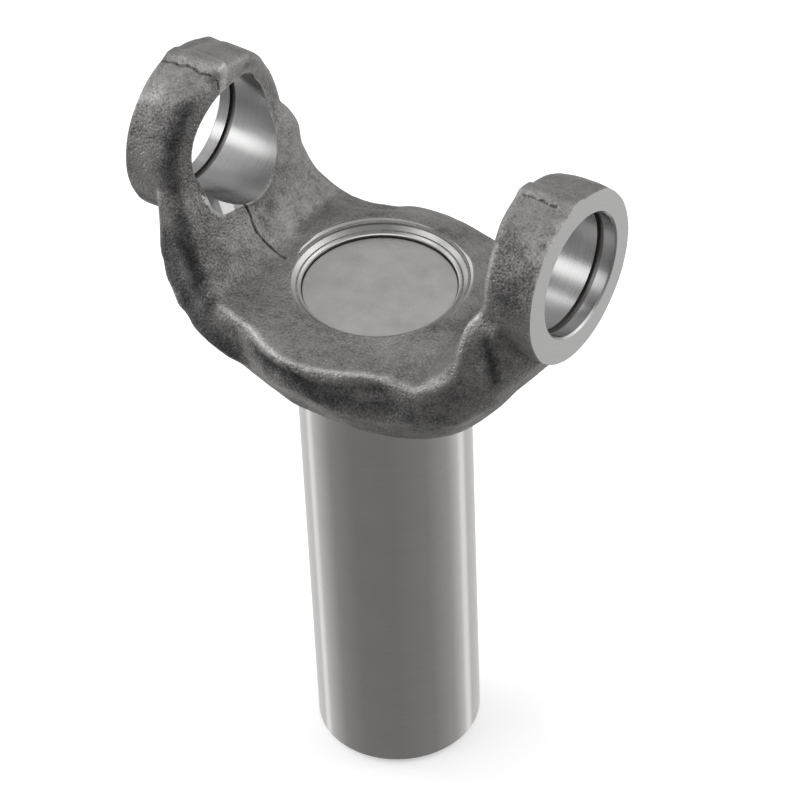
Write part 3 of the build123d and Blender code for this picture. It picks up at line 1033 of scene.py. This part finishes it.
def plug_material():
    """Matt pressed steel with faint blotches."""
    material, tree, shader, place = new_material("plug_steel")
    blotches = noise(tree, place, 4.5, 5.0)
    fine = noise(tree, place, 0.5, 2.0)
    shade = weighted(tree, (blotches, 0.7), (fine, 0.3))
    colour = ramp(tree, shade, [(0.3, (0.48, 0.472, 0.46)), (0.7, (0.57, 0.562, 0.55))])
    set_surface(tree, shader, colour, ranged(tree, blotches, (0.3, 0.7), (0.42, 0.52)))
    bump(tree, shader, fine, 0.03)
    return material


def area_light(name, place, size, power):
    """Soft rectangular lamp aimed at the middle of the studio, unseen by the camera."""
    data = bpy.data.lights.new(name, "AREA")
    data.shape = "RECTANGLE"
    data.size, data.size_y = size
    data.energy = power
    lamp = bpy.data.objects.new(name, data)
    aim = Vector(STUDIO_MIDDLE) - Vector(place)
    lamp.matrix_world = Matrix.Translation(place) @ aim.to_track_quat("-Z", "Y").to_matrix().to_4x4()
    lamp.visible_camera = False
    bpy.context.scene.collection.objects.link(lamp)


def aside(turn, rise, distance):
    """Place at an angle to the right of the studio's front, at a height angle and a distance."""
    direction = heading(VIEW_AZIMUTH + math.radians(turn), math.radians(rise))
    return Vector(STUDIO_MIDDLE) + distance * direction


def surroundings():
    """Light tent: white walls behind and at the sides, and its dark opening at the front."""
    world = bpy.data.worlds.new("surroundings")
    world.use_nodes = True
    tree = world.node_tree
    direction = add(tree, "ShaderNodeTexCoord").outputs["Generated"]
    parts = []
    for way in (heading(VIEW_AZIMUTH), (math.cos(VIEW_AZIMUTH), math.sin(VIEW_AZIMUTH), 0)):
        product = add(tree, "ShaderNodeVectorMath", {0: direction, 1: way}, operation="DOT_PRODUCT")
        parts.append(product.outputs["Value"])
    ahead, beside = parts
    turn = maths(tree, "ARCTAN2", beside, ahead)
    turn = maths(tree, "ADD", maths(tree, "DIVIDE", turn, 2 * math.pi), 0.5)
    low = ramp(tree, turn, [(0.0, 0.72), (0.128, 0.76), (0.145, 1.15), (0.163, 1.1), (0.18, 0.74),
                            (0.23, 0.52), (0.27, 0.36), (0.36, 0.26), (0.5, 0.25), (0.64, 0.3),
                            (0.74, 0.46), (0.795, 0.76), (0.815, 1.12), (0.835, 1.08), (0.853, 0.7),
                            (1.0, 0.72)])
    high = ramp(tree, turn, [(0.0, 0.5), (0.2, 0.7), (0.32, 0.5), (0.5, 0.15), (0.68, 0.5), (0.8, 0.7),
                             (1.0, 0.5)])
    height = add(tree, "ShaderNodeSeparateXYZ", {"Vector": direction}).outputs["Z"]
    share = ranged(tree, height, (-0.25, 0.15), interpolation_type="SMOOTHSTEP")
    blend = add(tree, "ShaderNodeMixRGB", {"Fac": share, "Color1": low, "Color2": high})
    background = tree.nodes["Background"]
    tree.links.new(blend.outputs[0], background.inputs["Color"])
    background.inputs["Strength"].default_value = 1.0
    bpy.context.scene.world = world


def make_studio():
    """Pale floor, the tent round it, and soft lamps above and at the sides."""
    half = 3.0
    corners = [(-half, -half, 0), (half, -half, 0), (half, half, 0), (-half, half, 0)]
    floor_mesh = mesh_from(corners, [[0, 1, 2, 3]])
    floor = new_object("floor", floor_mesh)
    material = bpy.data.materials.new("floor_paper")
    material.use_nodes = True
    shader = material.node_tree.nodes["Principled BSDF"]
    shader.inputs["Base Color"].default_value = (0.9, 0.9, 0.9, 1)
    shader.inputs["Roughness"].default_value = 0.9
    shader.inputs["Emission Color"].default_value = (1, 1, 1, 1)
    shader.inputs["Emission Strength"].default_value = 0.4
    floor_mesh.materials.append(material)
    # The object mirrors the tent's own shades below, not the paper's glare
    floor.visible_glossy = False
    floor.visible_diffuse = False
    surroundings()
    area_light("top_softbox", (-0.1, 0.1, 1.0), (0.5, 0.5), 1.2)
    area_light("left_softbox", aside(-112, 14, 0.85), (1.1, 1.0), 3.7)
    area_light("right_softbox", aside(96, 22, 0.85), (0.9, 0.9), 2.1)
    area_light("left_strip", aside(-112, 14, 0.84), (0.05, 1.0), 0.45)
    area_light("right_strip", aside(96, 22, 0.84), (0.05, 0.9), 0.4)
    area_light("front_left_softbox", aside(-68, 38, 0.9), (0.4, 0.4), 1.0)


make_camera()
bpy.context.scene.view_settings.view_transform = "Standard"
bore_centre = (0, 0, bore_axis / MM)
forged_skin = forged_skin_material()
turned_face = turned_material("turned_face", (0.5, 0.496, 0.492), 0.36, "x", bore_centre, 0.45, 0.012)
along_x = (2.6, 0.05, 0.05)
bored_wall = bored_material("bored_wall", (0.44, 0.437, 0.436), 0.28, along_x, 0.003, 2.4, (0.02, 0.16, 0.16))
ground_barrel = bored_material("ground_barrel", (0.58, 0.565, 0.555), 0.11, (0.05, 0.05, 3.5), 0.0006, 0.4)
turned_rings = turned_material("turned_rings", (0.52, 0.515, 0.51), 0.33, "z", (0, 0, 0), 0.6, 0.004, 0.03)
bored_inside = bored_material("bored_inside", (0.45, 0.44, 0.42), 0.35, (0.1, 0.1, 1.5), 0.01)
plug_steel = plug_material()
# Dark steel that paints the shade in the grooves and above the plug
recess_painted_shade = bored_material("recess_painted_shade", (0.21, 0.2, 0.195), 0.42, along_x, 0.003, 1.0)
yoke = build_yoke([forged_skin, turned_face, bored_wall, ground_barrel, turned_rings, bored_inside,
                   recess_painted_shade])
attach(yoke, "root")
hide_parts("forged_yoke")
frame["nodes"]["sealing_plug"].material_slots[0].material = plug_steel
make_studio()
